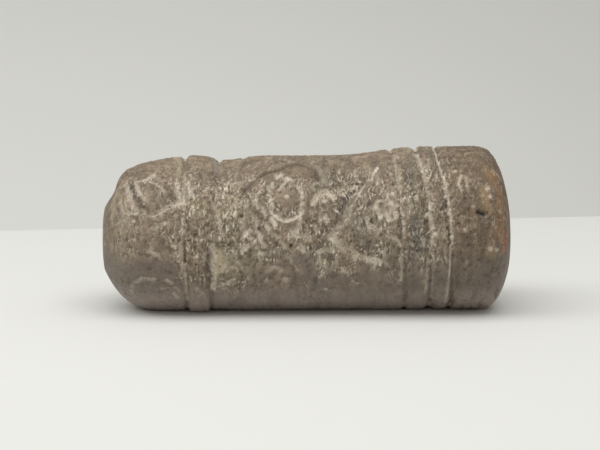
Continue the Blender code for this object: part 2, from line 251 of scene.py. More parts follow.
# The front of the frieze and of the left dome, as far as it can still be read: points, width, depth,
# crust. Points are in millimetres along the barrel and degrees round it.
ring_middle = (-3.04, 34.3)
ring = oval(*ring_middle, 2.62, 3.0)
brow = [(-9.2, 41), (-7.3, 52), (-6.0, 57), (-4.0, 61), (-3.0, 66), (-1.4, 70), (1.1, 61), (1.5, 50)]
cuts = [
    (ring, 0.8, 0.46, 0.4),
    ([(-5.6, 31), (-5.0, 24), (-4.2, 20), (-3.0, 18), (-1.5, 21), (-0.8, 27)], 1.5, 0.40, 1.6),
    ([(-1.6, 47), (-0.7, 38), (-0.9, 28)], 1.0, 0.38, 1.2),
    ([(-5.0, 46), (-5.6, 38), (-5.6, 31)], 1.1, 0.40, 1.4),
    ([(-4.5, 52), (-3.9, 56), (-3.4, 51)], 0.8, 0.2, 0.8),
    ([(-3.0, 52), (-2.1, 49)], 1.0, 0.1, 1.3),
    (spot(-3.1, 35), 1.0, 0.02, 0.7),
    (brow, 0.8, 0.34, 0.0),
    ([(0.7, 30), (1.5, 37), (2.6, 40), (3.7, 35)], 1.4, 0.28, 0.95),
    (spot(2.3, 32), 1.1, 0.1, 0.95),
    ([(-1.2, 19), (-1.6, 9), (-1.8, 5), (-0.3, 7), (0.2, 3)], 0.85, 0.25, 0.8),
    ([(3.1, 5), (5.0, 16), (6.0, 28)], 1.7, 0.46, 0.6),
    ([(6.0, 28), (7.5, 41), (9.0, 50), (9.9, 54)], 1.6, 0.42, 0.2),
    ([(9.0, 48), (9.6, 54), (10.2, 59)], 0.7, 0.15, 1.0),
    ([(6.7, 31), (7.4, 38), (8.3, 46)], 0.5, 0.3, 0.8),
    ([(3.2, 6), (4.8, -3), (6.3, -7), (7.7, -11), (10.0, -15)], 1.4, 0.45, 1.0),
    ([(8.8, -12), (10.1, -15)], 1.6, 0.3, 1.2),
    ([(9.6, 27), (10.3, 19)], 1.2, 0.3, 0.95),
    ([(10.8, 24), (11.4, 16)], 1.2, 0.3, 0.95),
    ([(11.7, 29), (12.4, 19)], 1.1, 0.28, 0.85),
    ([(8.3, 18), (8.8, 10)], 0.9, 0.25, 0.7),
    ([(9.1, 12), (9.9, 7)], 1.0, 0.25, 0.9),
    ([(9.1, 25), (10.0, 30), (11.5, 31), (12.7, 25)], 0.9, 0.25, 0.6),
    ([(11.4, 4), (12.5, 2), (13.1, -3)], 0.9, 0.25, 0.95),
    ([(1.4, -6), (2.4, -4), (3.5, -5)], 1.1, 0.25, 1.1),
    ([(1.4, -9), (1.7, -16), (2.7, -21), (3.9, -18), (4.0, -10)], 0.9, 0.3, 0.45),
    ([(4.9, -19), (5.4, -22)], 0.7, 0.15, 0.6),
    (spot(2.6, -37), 0.7, 0.1, 0.5),
    ([(-7.3, -18), (-6.5, -8), (-4.6, -4), (-2.8, -9), (-1.7, -20)], 1.0, 0.28, 0.4),
    (spot(-6.1, -29), 1.2, 0.25, 0.5),
    (spot(-3.3, -28), 1.4, 0.25, 0.45),
    ([(-6.0, -21), (-4.9, -17), (-3.9, -19)], 0.9, 0.25, 0.45),
    ([(-6.9, -30), (-5.6, -25), (-4.7, -29)], 0.8, 0.25, 0.0),
    ([(-7.4, -13), (-7.9, -22), (-7.6, -32)], 1.0, 0.3, 0.0),
    ([(-2.2, -14), (-1.8, -24), (-2.3, -33)], 1.0, 0.3, 0.0),
    ([(-9.5, -5), (-8.7, 0)], 0.9, 0.28, 1.0),
    ([(-8.3, 5), (-6.6, -8)], 0.8, 0.28, 0.9),
    ([(-5.5, 9), (-4.3, 5)], 0.9, 0.26, 0.85),
    ([(-13.6, 1), (-13.3, -8), (-13.6, -16), (-13.3, -24), (-13.7, -36)], 1.0, 0.35, 0.85),
    (spot(-13.6, -36), 1.0, 0.35, 1.2),
    ([(-13.4, -35), (-11.8, -31), (-10.8, -28)], 0.7, 0.24, 0.6),
    ([(-13.2, -7), (-11.8, -9)], 0.9, 0.28, 0.85),
    ([(-12.6, -14), (-11.0, -17)], 0.8, 0.24, 0.6),
    ([(-11.9, 50), (-7.1, 52)], 0.8, 0.22, 0.3),
    ([(-13.4, 31), (-12.3, 8)], 0.8, 0.2, 0.6),
    ([(-26.6, 59), (-26.1, 46), (-25.4, 34), (-24.6, 26)], 1.0, 0.34, 0.6),
    ([(-25.8, 26), (-24.0, 25), (-22.3, 22), (-20.0, 28), (-18.0, 34)], 1.2, 0.42, 0.6),
    ([(-24.9, 54), (-23.8, 54), (-22.5, 59)], 1.3, 0.25, 0.55),
    ([(-22.6, -4), (-21.7, -7)], 1.3, 0.12, 0.35),
    ([(-18.9, 48), (-18.2, 30)], 1.0, 0.15, 0.85),
    ([(-17.4, 49), (-16.6, 37)], 1.0, 0.15, 0.8),
    ([(-25.8, -46), (-25.3, -34), (-23.9, -26), (-22.0, -27)], 0.9, 0.12, 0.28),
    ([(-20.4, -27), (-19.7, -30)], 0.8, 0.2, 0.5),
    ([(-19.2, -34), (-18.7, -38)], 0.7, 0.2, 0.45),
    ([(-19.5, -40), (-18.9, -46)], 0.9, 0.2, 0.35),
    ([(-21.2, -36), (-20.1, -35)], 0.7, 0.15, 0.35),
    ([(22.1, 47), (21.6, 39), (22.1, 35)], 0.7, 0.1, 0.6),
    ([(22.8, 46), (22.8, 38)], 0.6, 0.1, 0.5),
    (oval(-10.9, -21.0, 1.5, 1.9, 10.0, 175.0), 0.6, 0.18, 0.55),
    (oval(-10.9, -21.0, 0.8, 1.0, 10.0, 175.0), 0.5, 0.16, 0.55),
    ([(-25.0, 52), (-24.2, 40), (-23.2, 33)], 0.8, 0.25, 0.6),
    ([(-23.0, 52), (-21.6, 47), (-20.6, 40)], 0.9, 0.2, 0.5),
    ([(-27.2, 44), (-26.9, 30), (-26.4, 20)], 0.7, 0.18, 0.55),
    ([(-22.0, 12), (-20.4, 16), (-19.0, 22)], 0.7, 0.15, 0.5),
]
strong_dashes = (
    *((-8.7, 7), (-8.0, 1), (-7.2, 7), (-6.0, 13), (-5.0, 16)),
    *((-6.6, 0), (-3.6, -1), (-9.6, 17), (-7.6, 18)),
)
weak_dashes = ((-9.4, 10), (-2.4, 8), (-1.0, -3), (1.0, 12), (2.2, 19), (0.6, 22), (-6.4, 24), (-7.4, 30))
right_end_spots = (
    *((25.7, 36), (26.1, 30), (27.7, 52), (23.6, 23), (22.3, 7)),
    *((26.0, -6), (27.0, -7), (21.3, 51), (27.5, 21)),
)
for x, angle in strong_dashes:
    cuts.append(([(x - 0.25, angle + 3.0), (x + 0.3, angle - 2.0)], 1.0, 0.32, 0.95))
for x, angle in weak_dashes:
    cuts.append(([(x - 0.2, angle + 2.5), (x + 0.25, angle - 2.5)], 0.9, 0.3, 0.7))
for x, angle in right_end_spots:
    cuts.append((spot(x, angle), 0.7 + 0.02 * (angle % 20), 0.06, 0.5))

# The hidden side of the frieze, in the same hand but plainer, and the panels round the left dome.
CHISEL, TUBE, POINT, FINE_POINT = (1.4, 0.45), (1.2, 0.45), (1.1, 0.35), (0.6, 0.30)


def ring_and_dot(x, angle, size=1.0):
    cuts.append((oval(x, angle, 2.6 * size, 3.0 * size), *TUBE, 0.8))
    cuts.append((spot(x, angle), 0.9 * size, 0.02, 0.7))
    hollows.append((oval(x, angle, 1.5 * size, 1.8 * size), 2.2 * size, 0.25, 0.0))


def chevron(x, angle, reach, up, down, crust=0.75):
    cuts.append(([(x + reach, angle + up), (x, angle), (x + reach * 1.1, angle - down)], *CHISEL, crust))


def dots(x, angle, columns, rows, step, turn, crust=0.6):
    for row in range(rows):
        for column in range(columns):
            place = spot(x + step * (column + 0.5 * (row % 2)), angle - turn * row)
            cuts.append((place, *POINT, crust))


def comb(x, angle, length, tines, turn):
    cuts.append(([(x, angle), (x, angle - turn * (tines - 1))], *POINT, 0.3))
    for tine in range(tines):
        level = angle - turn * tine
        reach = length * (0.75 + 0.25 * (tine % 2))
        cuts.append(([(x - 0.8, level), (x + reach, level + turn * 0.6)], *FINE_POINT, 0.6))


def branch(x, angle, height, pairs):
    cuts.append(([(x, angle - height / 2), (x, angle + height / 2)], POINT[0], CHISEL[1], 0.7))
    for pair in range(pairs):
        level = angle - height / 2 + height * (pair + 0.3) / pairs
        for side in (-1, 1):
            tip = (x + side * FRIEZE_LENGTH * 0.08, level + height * 0.16)
            cuts.append(([(x, level), tip], *POINT, 0.6))


# Wide shallow hollows: the ground dish inside each ring, the worn shoulder and end of the left dome,
# and the flat that an old chip left low on it.
hollows = [
    (oval(*ring_middle, 1.6, 1.9), 2.4, 0.25, 0.0),
    ([(-23.6, 58.0), (-23.6, 98.0)], 11.0, 0.6, 0.0),
    ([(-29.2, 60.0), (-29.2, 120.0)], 3.2, 1.2, 0.0),
    ([(-24.4, -38.0), (-21.2, -40.0)], 4.4, 0.25, 0.0),
    ([(-25.2, 50), (-23.6, 38), (-21.4, 34)], 3.2, 0.18, 0.0),
]
branch(frieze(0.16), 112.0, 42.0, 4)
ring_and_dot(frieze(0.46), 128.0, 0.85)
chevron(frieze(0.66), 118.0, FRIEZE_LENGTH * 0.2, 24.0, 24.0)
comb(frieze(0.08), 192.0, FRIEZE_LENGTH * 0.13, 7, 5.2)
dots(frieze(0.30), 196.0, 5, 3, FRIEZE_LENGTH * 0.07, 11.0)
chevron(frieze(0.70), 186.0, FRIEZE_LENGTH * 0.2, 22.0, 22.0)
ring_and_dot(frieze(0.26), 238.0)
cuts.append((oval(frieze(0.26), 238.0, 4.9, 6.6, 25.0, 155.0), 1.4, 0.32, 0.3))
branch(frieze(0.60), 240.0, 40.0, 4)
ring_and_dot(frieze(0.84), 246.0, 0.7)
dots(frieze(0.16), 270.0, 9, 2, FRIEZE_LENGTH * 0.08, 12.0, 0.0)
for turn in (125.0, 235.0):
    cuts.append(([(-25.4, 55.6 + turn), (-24.6, 26.8 + turn)], *POINT, 0.6))
    cuts.append(([(-25.4, 36.4 + turn), (-22.6, 24.8 + turn), (-18.1, 33.3 + turn)], *CHISEL, 0.6))

# Small deep pits, where a grain has fallen out.
pits = [
    (spot(-2.5, -1), 0.8, 0.35, 0.0),
    ([(24.2, 19), (25.1, 17)], 0.9, 0.35, 0.0),
    (spot(21.4, 11), 0.6, 0.28, 0.0),
    (spot(-9.6, 22), 0.6, 0.25, 0.0),
    (spot(6.4, -24), 0.5, 0.22, 0.0),
    (spot(-21.2, 8), 0.5, 0.2, 0.0),
    (spot(9.0, 150), 0.8, 0.3, 0.0),
    (spot(-20.0, 170), 0.7, 0.3, 0.0),
    (spot(24.0, 205), 0.9, 0.3, 0.0),
]

# Stains: points, width, strength, how calm the skin is there, and the colour of the stone.
stains = [
    (brow, 1.3, 0.75, 0.8, "#5e503f"),
    ([(-1.0, 60), (0.6, 53)], 3.0, 0.8, 1.0, "#75644e"),
    ([(-6.2, 54), (-5.2, 49)], 2.4, 0.75, 1.0, "#7b6b56"),
    ([(-3.2, 60), (-2.4, 57)], 2.0, 0.6, 0.9, "#77664f"),
    ([(1.1, 44), (2.1, 42)], 1.4, 0.75, 0.6, "#575541"),
    ([(9.4, 70), (10.6, 52)], 2.6, 0.6, 1.0, "#776a57"),
    ([(7.7, 38), (8.7, 45)], 1.9, 0.55, 0.9, "#7d7a6b"),
    ([(4.9, 33), (5.4, 25)], 1.4, 0.85, 0.4, "#463c32"),
    ([(12.9, 58), (13.2, 39)], 1.8, 0.55, 0.3, "#a29a7a"),
    ([(-25.2, 50), (-23.6, 36), (-21.0, 33)], 3.4, 0.5, 0.5, "#6a5e4e"),
    (spot(*ring_middle), 5.4, 0.7, 1.0, "#8b7a64"),
    (oval(*ring_middle, 3.6, 4.0, -170.0, 40.0), 1.5, 0.6, 0.9, "#66594a"),
    ([(-13.0, -6), (-12.3, -12), (-12.8, -20)], 2.8, 0.85, 0.7, "#c9bc98"),
    ([(-19.3, 92), (-18.6, 60)], 3.0, 0.6, 0.3, "#b0a688"),
    ([(-17.2, 35), (-14.5, 30)], 2.0, 0.5, 0.0, "#a59b78"),
    ([(-13.3, 31), (-10.9, 17), (-12.3, 5)], 1.9, 0.45, 0.0, "#a89e7e"),
    ([(-13.5, 86), (-13.1, 66)], 2.0, 0.6, 0.6, "#a19c8f"),
    ([(2.0, 63), (2.5, 48)], 2.4, 0.55, 0.8, "#8f8a77"),
    ([(4.3, 22), (5.5, 33), (6.6, 42), (7.6, 50)], 1.3, 0.9, 0.0, "#463c32"),
    ([(6.6, 16), (7.7, 2)], 3.4, 0.6, 0.5, "#69655a"),
    ([(15.1, 13), (15.7, -7)], 2.6, 0.8, 0.6, "#51534d"),
    ([(14.8, 60), (15.3, 20)], 2.4, 0.65, 0.2, "#66624f"),
    ([(18.2, 80), (18.6, 60)], 1.8, 0.6, 0.3, "#64624f"),
    ([(18.8, 52), (18.9, 0)], 1.9, 0.4, 0.3, "#655a49"),
    ([(15.3, -14), (15.3, -40)], 2.4, 0.4, 0.8, "#625c50"),
    ([(-14.5, -1), (-14.4, -32)], 1.3, 0.9, 0.6, "#453c31"),
    ([(-26.0, 54), (-24.8, 38), (-23.6, 29)], 1.4, 0.85, 0.0, "#4a4035"),
    ([(-3.4, -15), (-0.8, -9), (0.4, -24)], 3.6, 0.7, 1.0, "#71665e"),
    ([(-7.4, -24), (-2.4, -25)], 5.2, 0.4, 0.9, "#7c7062"),
    ([(-11.6, -22), (-9.0, -14)], 4.0, 0.35, 0.8, "#857963"),
    ([(8.4, -24), (11.0, -30)], 4.0, 0.3, 0.8, "#75695c"),
    ([(1.4, -30), (2.1, -38)], 2.2, 0.4, 0.0, "#6c6d6b"),
    ([(17.4, -14), (17.5, -48)], 1.6, 0.5, 0.0, "#8c8377"),
    ([(-24.5, -38), (-21.4, -38)], 4.2, 0.6, 0.0, "#73685f"),
    ([(26.6, 50), (27.9, 28), (28.0, 2)], 4.2, 0.68, 0.0, "#957049"),
    ([(25.3, 35), (26.0, 19)], 2.2, 0.5, 0.0, "#a78a60"),
    ([(28.0, 9), (28.5, -8)], 1.8, 0.75, 0.0, "#a9573d"),
    ([(24.6, -4), (26.6, -10)], 2.6, 0.4, 0.0, "#98825c"),
    ([(-10.6, 44), (-9.8, 26), (-10.4, 8)], 4.4, 0.3, 0.0, "#b0a384"),
    ([(-16.6, 27), (-13.6, 20), (-10.8, 27)], 3.6, 0.35, 0.0, "#a69b76"),
    ([(-28.9, 26), (-28.6, 0), (-27.4, -16)], 3.0, 0.45, 0.0, "#77785f"),
    (spot(26.0, 150), 4.5, 0.5, 0.0, "#8d6f50"),
    (spot(-23.0, 150), 5.0, 0.5, 0.0, "#62574a"),
    (spot(4.0, 215), 6.0, 0.4, 0.0, "#7d7b6c"),
]


def add(tree, kind, inputs=None, **settings):
    """Adds a node with its settings. Each input, by name or number, takes a value, a socket or a node."""
    node = tree.nodes.new(kind)
    for key, value in settings.items():
        setattr(node, key, value)
    for key, value in (inputs or {}).items():
        if isinstance(key, int):
            socket = node.inputs[key]
        else:
            socket = next(s for s in node.inputs if s.name == key and s.enabled)
        if isinstance(value, bpy.types.Node):
            value = next(s for s in value.outputs if s.enabled)
        if isinstance(value, bpy.types.NodeSocket):
            tree.links.new(value, socket)
        else:
            socket.default_value = value
    return node


def flaking(tree, place):
    """How the skin has flaked, drawn out round the barrel: thin ridges left standing, fine fibres that hold
    crust, and gaps between them. The carved shape and its colour follow the same pattern; in the colour the
    gaps are darkened with painted shade, and the paler ridge tops are partly a painted highlight."""
    drawn = add(tree, "ShaderNodeVectorMath", {0: place, 1: (1.0, 0.45, 0.45)}, operation="MULTIPLY")
    bend = add(tree, "ShaderNodeTexNoise", {"Vector": place, "Scale": 0.7, "Detail": 1.0})
    bend = add(
        tree, "ShaderNodeVectorMath", {0: bend.outputs["Color"], 1: (0.5, 0.5, 0.5)}, operation="SUBTRACT"
    )
    bent = add(
        tree, "ShaderNodeVectorMath", {0: bend, 1: (0.8, 0.8, 0.8), 2: drawn}, operation="MULTIPLY_ADD"
    )
    field = add(tree, "ShaderNodeTexNoise", {"Vector": bent, "Scale": 1.3, "Detail": 1.0})
    off_middle = add(tree, "ShaderNodeMath", {0: field, 1: 0.5}, operation="SUBTRACT")
    off_middle = add(tree, "ShaderNodeMath", {0: off_middle}, operation="ABSOLUTE")
    fine_field = add(tree, "ShaderNodeTexNoise", {"Vector": bent, "Scale": 3.3, "Detail": 2.0})
    patterns = []
    for source, starts, ends, before, after in (
        (off_middle, 0.006, 0.04, 1.0, 0.0),
        (fine_field, 0.54, 0.60, 0.0, 1.0),
        (fine_field, 0.36, 0.45, 1.0, 0.0),
    ):
        pattern = add(
            tree,
            "ShaderNodeMapRange",
            {"Value": source, "From Min": starts, "From Max": ends, "To Min": before, "To Max": after},
            interpolation_type="SMOOTHSTEP",
        )
        patterns.append(pattern)
    return patterns


barrel = bpy.data.node_groups.new("turned_and_engraved_barrel", "GeometryNodeTree")
outline_places, outline_facing = turned_outline()
outline = source_mesh("turned_outline", outline_places / MM, [], "POINT", facing=outline_facing)
work = dict(Grooves=grooves, Threads=threads, Cuts=cuts, Hollows=hollows, Pits=pits, Stains=stains)
sizes = {
    "Outline": ("NodeSocketObject", outline),
    **{name: ("NodeSocketObject", lay_flat(name.lower(), strokes)) for name, strokes in work.items()},
    "Rings": ("NodeSocketInt", len(outline_places) - 1),
    "Columns": ("NodeSocketInt", COLUMNS),
    "Front fineness": ("NodeSocketFloat", 0.25),
    "Sheet radius": ("NodeSocketFloat", SHEET_RADIUS / MM),
    "Wander": ("NodeSocketFloat", 0.42),
    "Tick spacing": ("NodeSocketFloat", 1.0),
    "Tick length": ("NodeSocketFloat", 1.2),
    "Flake depth": ("NodeSocketFloat", 0.18),
    "Unevenness": ("NodeSocketFloat", 0.26),
    "Roughness": ("NodeSocketFloat", 0.30),
    "Wear allowance": ("NodeSocketFloat", 0.29),
    "Pock depth": ("NodeSocketFloat", 0.28),
    "Seed": ("NodeSocketInt", 7),
    "Stone": ("NodeSocketMaterial", None),
}
for name, (kind, _) in sizes.items():
    barrel.interface.new_socket(name, in_out="INPUT", socket_type=kind)
barrel.interface.new_socket("Geometry", in_out="OUTPUT", socket_type="NodeSocketGeometry")
given = add(barrel, "NodeGroupInput").outputs

# A sheet of rings and columns is wound round the bore's axis, with its columns closer on the front.
# The tree works in millimetres.
FINEST_ANGLE = 15.0
steps_round = add(barrel, "ShaderNodeMath", {0: given["Columns"], 1: 1.0}, operation="ADD")
steps_along = add(barrel, "ShaderNodeMath", {0: given["Rings"], 1: 1.0}, operation="ADD")
sheet = add(
    barrel,
    "GeometryNodeMeshGrid",
    {"Size X": 1.0, "Size Y": 1.0, "Vertices X": steps_along, "Vertices Y": steps_round},
)
position = add(barrel, "GeometryNodeInputPosition")
on_sheet = add(barrel, "ShaderNodeSeparateXYZ", {0: position}).outputs
from_first = add(barrel, "ShaderNodeMath", {0: on_sheet["X"], 1: 0.5}, operation="ADD")
ring_place = add(barrel, "ShaderNodeMath", {0: from_first, 1: given["Rings"]}, operation="MULTIPLY")
ring_number = add(barrel, "ShaderNodeMath", {0: ring_place}, operation="ROUND")
even_turn = add(
    barrel,
    "ShaderNodeMath",
    {0: on_sheet["Y"], 1: math.tau, 2: math.radians(SEAM) + math.pi},
    operation="MULTIPLY_ADD",
)
from_front = add(
    barrel, "ShaderNodeMath", {0: even_turn, 1: math.radians(FINEST_ANGLE)}, operation="SUBTRACT"
)
swing = add(barrel, "ShaderNodeMath", {0: from_front}, operation="SINE")
swing = add(barrel, "ShaderNodeMath", {0: swing, 1: given["Front fineness"]}, operation="MULTIPLY")
turn = add(barrel, "ShaderNodeMath", {0: even_turn, 1: swing}, operation="SUBTRACT")
outline_shape = add(barrel, "GeometryNodeObjectInfo", {"Object": given["Outline"]}).outputs["Geometry"]
facing_name = add(barrel, "GeometryNodeInputNamedAttribute", {"Name": "facing"}, data_type="FLOAT_VECTOR")
from_outline = []
for value in (position, facing_name):
    sample = add(
        barrel,
        "GeometryNodeSampleIndex",
        {"Geometry": outline_shape, "Value": value, "Index": ring_number},
        data_type="FLOAT_VECTOR",
    )
    from_outline += add(barrel, "ShaderNodeSeparateXYZ", {0: sample}).outputs[:]
along, radius, middle, facing_along, facing_out, carved = from_outline
cosine = add(barrel, "ShaderNodeMath", {0: turn}, operation="COSINE")
sine = add(barrel, "ShaderNodeMath", {0: turn}, operation="SINE")
forward = add(barrel, "ShaderNodeMath", {0: cosine, 1: -1.0}, operation="MULTIPLY")
blank_y = add(barrel, "ShaderNodeMath", {0: forward, 1: radius}, operation="MULTIPLY")
blank_z = add(barrel, "ShaderNodeMath", {0: sine, 1: radius, 2: middle}, operation="MULTIPLY_ADD")
blank = add(barrel, "ShaderNodeCombineXYZ", {"X": along, "Y": blank_y, "Z": blank_z})

# Worn smooth low on the front, along a ragged line that climbs to the right.
RAGGED_DEGREES = 40.0
degrees = add(barrel, "ShaderNodeMath", {0: turn}, operation="DEGREES")
smooth_line = add(
    barrel,
    "ShaderNodeMapRange",
    {"Value": along, "From Min": -10.0, "From Max": 27.0, "To Min": -36.0, "To Max": -12.0},
)
ragged = add(barrel, "ShaderNodeTexNoise", {"Vector": blank, "Scale": 0.45, "Detail": 2.0})
ragged = add(barrel, "ShaderNodeMath", {0: ragged, 1: 0.5}, operation="SUBTRACT")
ragged_angle = add(
    barrel, "ShaderNodeMath", {0: ragged, 1: RAGGED_DEGREES, 2: degrees}, operation="MULTIPLY_ADD"
)
dome_line = add(
    barrel,
    "ShaderNodeMapRange",
    {"Value": along, "From Min": -20.5, "From Max": -17.5, "To Min": 26.0, "To Max": 0.0},
    interpolation_type="SMOOTHSTEP",
)
smooth_line = add(barrel, "ShaderNodeMath", {0: smooth_line, 1: dome_line}, operation="ADD")
over_line = add(barrel, "ShaderNodeMath", {0: ragged_angle, 1: smooth_line}, operation="SUBTRACT")
low_front = add(
    barrel,
    "ShaderNodeMapRange",
    {"Value": over_line, "From Min": -16.0, "From Max": 24.0, "To Min": 1.0, "To Max": 0.0},
    interpolation_type="SMOOTHSTEP",
)

# The back is rubbed low down too. The top and the right end are browner and sounder, and the stone
# between has flaked and holds crust. Each zone grows or fades between two angles or two places.
SOUNDNESS = 0.70
TOP_BROWNING = 0.4
RAGGED_RUN = 6.0
ragged_along = add(
    barrel, "ShaderNodeMath", {0: ragged, 1: RAGGED_RUN, 2: along}, operation="MULTIPLY_ADD"
)
zones = []
for place, starts, ends, before, after in (
    (ragged_angle, 212.0, 238.0, 0.0, 1.0),
    (ragged_angle, 44.0, 66.0, 0.0, 1.0),
    (ragged_angle, 112.0, 136.0, 1.0, 0.0),
    (ragged_along, 19.2, 21.6, 0.0, 1.0),
    (ragged_along, -19.5, -17.0, 0.4, 0.0),
):
    zone = add(
        barrel,
        "ShaderNodeMapRange",
        {"Value": place, "From Min": starts, "From Max": ends, "To Min": before, "To Max": after},
        interpolation_type="SMOOTHSTEP",
    )
    zones.append(zone)
low_back, top_near, top_far, right_end, left_end = zones
rubbed = add(barrel, "ShaderNodeMath", {0: low_front, 1: low_back}, operation="MAXIMUM")
fresh = add(barrel, "ShaderNodeMath", {0: 1.0, 1: rubbed}, operation="SUBTRACT")
top_brown = add(barrel, "ShaderNodeMath", {0: top_near, 1: top_far}, operation="MULTIPLY")
sound = add(barrel, "ShaderNodeMath", {0: top_brown, 1: right_end}, operation="MAXIMUM")
sound = add(barrel, "ShaderNodeMath", {0: sound, 1: SOUNDNESS}, operation="MULTIPLY")
brown = add(barrel, "ShaderNodeMath", {0: top_brown, 1: TOP_BROWNING}, operation="MULTIPLY")
brown = add(barrel, "ShaderNodeMath", {0: brown, 1: right_end}, operation="MAXIMUM")
sound = add(barrel, "ShaderNodeMath", {0: sound, 1: left_end}, operation="MAXIMUM")
unsound = add(barrel, "ShaderNodeMath", {0: 1.0, 1: sound}, operation="SUBTRACT")
flaky = add(barrel, "ShaderNodeMath", {0: fresh, 1: unsound}, operation="MULTIPLY")
off_end = add(barrel, "ShaderNodeMapRange", {"Value": carved, "From Min": 0.35, "From Max": 0.8})
flaky = add(barrel, "ShaderNodeMath", {0: flaky, 1: off_end}, operation="MULTIPLY")

# Every tool's path is laid out flat. A hand-cut edge strays a little from it.
round_sheet = add(barrel, "ShaderNodeMath", {0: turn, 1: given["Sheet radius"]}, operation="MULTIPLY")
rolled_out = add(barrel, "ShaderNodeCombineXYZ", {"X": along, "Y": round_sheet})
stray = add(barrel, "ShaderNodeTexNoise", {"Vector": blank, "Scale": 1.4, "Detail": 2.0, "Roughness": 0.6})
centred = add(
    barrel, "ShaderNodeVectorMath", {0: stray.outputs["Color"], 1: (0.5, 0.5, 0.5)}, operation="SUBTRACT"
)
wander = add(barrel, "ShaderNodeCombineXYZ", {"X": given["Wander"], "Y": given["Wander"]})
hand_path = add(
    barrel, "ShaderNodeVectorMath", {0: centred, 1: wander, 2: rolled_out}, operation="MULTIPLY_ADD"
)

# Short ticks of a point, strewn over the frieze by the engraver's filling-in and by wear.
TICKED_LENGTH = 38.0
TICKED_MIDDLE = 1.0
SHEET_HEIGHT = math.tau * SHEET_RADIUS / MM
SHEET_MIDDLE = math.radians(SEAM + 180.0) * SHEET_RADIUS / MM
tick_ground = add(
    barrel,
    "GeometryNodeMeshGrid",
    {"Size X": TICKED_LENGTH, "Size Y": SHEET_HEIGHT, "Vertices X": 2, "Vertices Y": 2},
)
tick_ground = add(
    barrel,
    "GeometryNodeTransform",
    {"Geometry": tick_ground, "Translation": (TICKED_MIDDLE, SHEET_MIDDLE, 0.0)},
)
tick_places = add(
    barrel,
    "GeometryNodeDistributePointsOnFaces",
    {"Mesh": tick_ground, "Distance Min": given["Tick spacing"], "Density Max": 2.0, "Seed": given["Seed"]},
    distribute_method="POISSON",
)
tick_line = add(
    barrel, "GeometryNodeMeshLine", {"Count": 2, "Start Location": (0, -0.5, 0), "Offset": (0, 1, 0)}
)
tick_turn = add(
    barrel,
    "FunctionNodeRandomValue",
    {"Min": (0.0, 0.0, -0.9), "Max": (0.0, 0.0, 0.5), "Seed": given["Seed"]},
    data_type="FLOAT_VECTOR",
)
tick_share = add(barrel, "FunctionNodeRandomValue", {"Min": 0.15, "Max": 1.0, "Seed": 3}, data_type="FLOAT")
tick_size = add(barrel, "ShaderNodeMath", {0: tick_share, 1: given["Tick length"]}, operation="MULTIPLY")
ticks = add(
    barrel,
    "GeometryNodeInstanceOnPoints",
    {"Points": tick_places, "Instance": tick_line, "Rotation": tick_turn, "Scale": tick_size},
)
ticks = add(barrel, "GeometryNodeRealizeInstances", {"Geometry": ticks})
tick_tool = add(
    barrel,
    "FunctionNodeRandomValue",
    {"Min": (0.20, 0.03, 0.0), "Max": (0.36, 0.28, 0.72), "Seed": 5},
    data_type="FLOAT_VECTOR",
)
ticks = add(
    barrel,
    "GeometryNodeStoreNamedAttribute",
    {"Geometry": ticks, "Name": "tool", "Value": tick_tool},
    data_type="FLOAT_VECTOR",
    domain="EDGE",
)

# The depth that each tool leaves, and the pale crust held in it. The crust lies in the middle of a
# stroke, full to one share of its half width and gone at another.
CRUST_FULL = 0.35
CRUST_GONE = 0.85
tool_name = add(barrel, "GeometryNodeInputNamedAttribute", {"Name": "tool"}, data_type="FLOAT_VECTOR")
tint_name = add(barrel, "GeometryNodeInputNamedAttribute", {"Name": "tint"}, data_type="FLOAT_VECTOR")
left_by = {}
for tool in (*work, "Ticks"):
    if tool == "Ticks":
        paths = ticks.outputs["Geometry"]
    else:
        paths = add(barrel, "GeometryNodeObjectInfo", {"Object": given[tool]}).outputs["Geometry"]
    away = add(
        barrel,
        "GeometryNodeProximity",
        {"Geometry": paths, "Sample Position": hand_path},
        target_element="EDGES",
    ).outputs["Distance"]
    nearest = add(
        barrel,
        "GeometryNodeSampleNearest",
        {"Geometry": paths, "Sample Position": hand_path},
        domain="EDGE",
    )
    used = add(
        barrel,
        "GeometryNodeSampleIndex",
        {"Geometry": paths, "Value": tool_name, "Index": nearest},
        data_type="FLOAT_VECTOR",
        domain="EDGE",
    )
    half_width, depth, crust = add(barrel, "ShaderNodeSeparateXYZ", {0: used}).outputs[:]
    removed = add(
        barrel,
        "ShaderNodeMapRange",
        {"Value": away, "From Max": half_width, "To Min": depth, "To Max": 0.0},
        interpolation_type="SMOOTHSTEP",
    )
    crust_full = add(barrel, "ShaderNodeMath", {0: half_width, 1: CRUST_FULL}, operation="MULTIPLY")
    crust_gone = add(barrel, "ShaderNodeMath", {0: half_width, 1: CRUST_GONE}, operation="MULTIPLY")
    crust_left = add(
        barrel,
        "ShaderNodeMapRange",
        {"Value": away, "From Min": crust_full, "From Max": crust_gone, "To Min": crust, "To Max": 0.0},
        interpolation_type="SMOOTHSTEP",
    )
    left_by[tool] = (removed, crust_left, paths, nearest)
rough_left = add(barrel, "ShaderNodeMath", {0: 1.0, 1: left_by["Stains"][1]}, operation="SUBTRACT")
flaky = add(barrel, "ShaderNodeMath", {0: flaky, 1: rough_left}, operation="MULTIPLY")
cut_depth = add(barrel, "ShaderNodeMath", {0: left_by["Ticks"][0], 1: flaky}, operation="MULTIPLY")
crust = add(barrel, "ShaderNodeMath", {0: left_by["Ticks"][1], 1: flaky}, operation="MULTIPLY")
for tool in ("Grooves", "Threads", "Cuts", "Pits"):
    cut_depth = add(barrel, "ShaderNodeMath", {0: cut_depth, 1: left_by[tool][0]}, operation="MAXIMUM")
    crust = add(barrel, "ShaderNodeMath", {0: crust, 1: left_by[tool][1]}, operation="MAXIMUM")
whole_depth = add(
    barrel, "ShaderNodeMath", {0: cut_depth, 1: left_by["Hollows"][0]}, operation="MAXIMUM"
)
